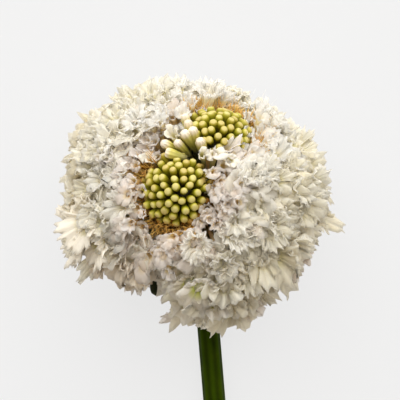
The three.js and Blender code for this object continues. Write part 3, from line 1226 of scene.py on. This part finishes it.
@dataclass
class Studio:
    """The pale floor, the soft lights and the camera that looks down on the flower."""

    plan: HeadPlan
    lens: float = 200.0
    frame_width: float = 104 * MM
    sky_low: float = 0.07
    sky_slope: float = 1.05

    def floor(self) -> None:
        """Lays the floor, which glows a little so that shadows on it stay pale."""
        bm = bmesh.new()
        bmesh.ops.create_grid(bm, x_segments=1, y_segments=1, size=6.0)
        mesh = baked(bm, "studio_floor")
        floor = bpy.data.objects.new("studio_floor", mesh)
        bpy.context.scene.collection.objects.link(floor)
        material, board = blank("pale_floor")
        surface = board.add("ShaderNodeBsdfPrincipled", {
            "Base Color": (0.12, 0.12, 0.12, 1), "Roughness": 0.9, "Specular IOR Level": 0.0,
            "Emission Color": (0.88, 0.88, 0.88, 1), "Emission Strength": 0.84})
        board.add("ShaderNodeOutputMaterial", {"Surface": surface.outputs[0]})
        mesh.materials.append(material)

    def light(self, name: str, place_at: Sequence[float], size: float, power: float, colour: Colour) -> None:
        """Hangs a soft square light that faces the head.

        Args:
            name: the light's name.
            place_at: where it hangs, from the head's centre, in metres.
            size: its side, in metres.
            power: its power, in watts.
            colour: its colour.
        """
        data = bpy.data.lights.new(name, "AREA")
        data.shape, data.size, data.energy, data.color = "SQUARE", size, power, colour
        lamp = bpy.data.objects.new(name, data)
        lamp.location = Vector(self.plan.centre) + Vector(place_at)
        lamp.rotation_euler = (-Vector(place_at)).to_track_quat("-Z", "Y").to_euler()
        bpy.context.scene.collection.objects.link(lamp)

    def sky(self) -> None:
        """Gives a pale surround that is brightest behind the top of the head, as beside a wide window."""
        world = bpy.data.worlds.new("studio")
        world.use_nodes = True
        bpy.context.scene.world = world
        board = Board(world.node_tree)
        way = board.add("ShaderNodeSeparateXYZ", {0: board.add("ShaderNodeTexCoord").outputs["Generated"]})
        upward = board.number("MULTIPLY_ADD", way.outputs["Y"], 0.5, 0.5)
        sideways = board.number("MULTIPLY_ADD", way.outputs["X"], -0.03, upward)
        strength = board.number("MULTIPLY_ADD", sideways, self.sky_slope, self.sky_low)
        warmth = board.mix(upward, (1, 0.88, 0.7), (1, 1, 1))
        lit = board.add("ShaderNodeBackground", {"Color": warmth, "Strength": strength})
        board.add("ShaderNodeOutputWorld", {"Surface": lit.outputs[0]})

    def camera(self) -> None:
        """Sets the camera straight above the head, with the stem running down the picture."""
        data = bpy.data.cameras.new("overhead")
        data.lens, data.sensor_width = self.lens, 36.0
        data.clip_start, data.clip_end = 0.01, 50.0
        camera = bpy.data.objects.new("overhead", data)
        distance = self.frame_width * self.lens / 36.0
        camera.location = Vector(self.plan.centre) + Vector((0.5 * MM, 0.8 * MM, distance))
        bpy.context.scene.collection.objects.link(camera)
        bpy.context.scene.camera = camera

    def build(self) -> None:
        """Sets everything up."""
        self.floor()
        self.sky()
        self.light("key", (0.0, 0.85, 0.7), 2.0, 27.0, (0.97, 0.988, 1.0))
        self.camera()
        scene = bpy.context.scene
        scene.view_settings.view_transform = "Standard"
        scene.cycles.max_bounces, scene.cycles.diffuse_bounces, scene.cycles.transmission_bounces = 24, 16, 20


PETALS = (
    PetalFinish("inner", tube=(250, 246, 222), throat=(253, 250, 240), blade=(254, 253, 250), edge=(254, 252, 249)),
    PetalFinish("middle"),
    PetalFinish("outer", tube=(242, 239, 184), blade=(254, 251, 242), edge=(254, 251, 244), blotch=(253, 247, 231)),
    PetalFinish("skirt", tube=(238, 234, 180), throat=(249, 245, 220), blade=(253, 248, 242), edge=(253, 249, 244),
                blotch=(252, 245, 234)),
    # Cupped florets: the tube and throat are painted dark olive. This is partly the throat's own green and partly
    # painted shade inside the cups.
    PetalFinish("cupped", tube=(176, 170, 84), throat=(226, 220, 160), blade=(254, 251, 245), blotch=(252, 246, 232),
                seen_through=0.5),
    PetalFinish("sappy", tube=(226, 236, 120), throat=(242, 245, 180), blade=(254, 251, 246), blotch=(253, 249, 234)),
    # Painted shade: darker, browner petals for the head's lower left side, which lies in the head's own shade.
    PetalFinish("dusky", tube=(150, 136, 78), throat=(204, 190, 146), blade=(246, 238, 224), edge=(249, 242, 232),
                blotch=(238, 226, 204), seen_through=0.5),
    PetalFinish("young", tube=(238, 220, 170), throat=(250, 241, 216), blade=(254, 251, 248), edge=(254, 252, 250),
                blotch=(252, 244, 234)),
    PetalFinish("fresh", tube=(248, 240, 206), throat=(253, 249, 236), blade=(254, 253, 250), edge=(254, 252, 250),
                blotch=(253, 249, 241)),
    PetalFinish("opening", tube=(196, 190, 90), throat=(238, 232, 176), blade=(253, 250, 240), edge=(254, 251, 247),
                blotch=(250, 243, 228), seen_through=0.45),
)
FLESH = (
    # Bud green that runs to near black at the root: the buds' own green, with painted shade in the gaps between the
    # packed buds.
    FleshFinish("bud_skin", ((0.0, (44, 52, 4)), (0.6, (92, 104, 6)), (0.82, (134, 142, 16)), (0.93, (176, 176, 56)),
                             (1.0, (206, 200, 126))), (180, 124, 40), roughness=0.45, scale=700.0, amount=0.35),
    FleshFinish("swollen_bud_skin", ((0.0, (46, 58, 2)), (0.5, (150, 150, 20)), (0.78, (198, 190, 84)),
                                     (0.92, (224, 212, 184)), (1.0, (232, 222, 206))),
                (226, 200, 150), roughness=0.45, scale=600.0, amount=0.35),
    FleshFinish("bristle_skin", ((0.0, (166, 128, 20)), (0.6, (224, 184, 84)), (1.0, (240, 212, 140))),
                (236, 196, 120), roughness=0.55),
    # Dark olive dome: partly its own green, partly painted shade where it shows in the gaps between the buds.
    FleshFinish("core_flesh", ((0.0, (50, 54, 6)), (1.0, (50, 54, 6))), (84, 70, 14)),
    FleshFinish("pale_flesh", ((0.0, (226, 224, 170)), (1.0, (226, 224, 170))), (236, 226, 180)),
    FleshFinish("stem_skin", ((0.0, (38, 58, 0)), (1.0, (44, 66, 0))), (76, 94, 2),
                roughness=0.6, scale=220.0, amount=0.5, shine=0.03),
    FleshFinish("stem_pith", ((0.0, (190, 200, 150)), (1.0, (190, 200, 150))), (160, 176, 110)),
    # Bract green, darker towards the tip: the bract's own green, with painted shade on the tips that lie under the
    # florets.
    FleshFinish("bract_skin", ((0.0, (52, 68, 22)), (1.0, (24, 34, 14))), (60, 74, 30), roughness=0.45, scale=400.0),
)


def main() -> None:
    """Builds the flower and its set, in order."""
    logging.basicConfig(level=logging.INFO, format="%(name)s %(message)s")
    plan = HeadPlan()
    petals = {finish.name: finish.make() for finish in PETALS}
    flesh = {finish.name: finish.make() for finish in FLESH}
    taken = Corona(plan).build(petals)
    for tier in Tier:
        Filling(plan, tier).build(petals, taken)
    Collar(plan).build(petals["young"], petals["fresh"])
    for which, name in enumerate(("lower_eye_buds", "upper_eye_buds")):
        Eye(plan, which).build(name, flesh["bud_skin"], flesh["core_flesh"])
    Cleft(plan).build(flesh["swollen_bud_skin"], petals["opening"])
    Bristles(plan, 0, 520, -30.0, 180.0, band=(21.0, 29.5), start=(21.5, 24.5), length=(1.2, 2.8)).build(
        "lower_eye_bristles", flesh["bristle_skin"])
    Bristles(plan, 1, 720, 0.0, 190.0, band=(21.5, 30.0), start=(22.8, 25.0), length=(1.6, 3.6)).build(
        "upper_eye_bristles", flesh["bristle_skin"])
    Bristles(plan, 1, 6, 10.0, 60.0, band=(36.0, 44.0), start=(27.0, 28.5), length=(4.0, 6.0), width=0.24 * MM).build(
        "stray_filaments", petals["inner"])
    Stem(plan).build(flesh["stem_skin"], flesh["stem_pith"])
    Bracts(plan).build(flesh["bract_skin"])
    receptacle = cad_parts["receptacle"]
    receptacle.data.materials.clear()
    receptacle.data.materials.append(flesh["pale_flesh"])
    Studio(plan).build()


if __name__ == "__main__":
    main()
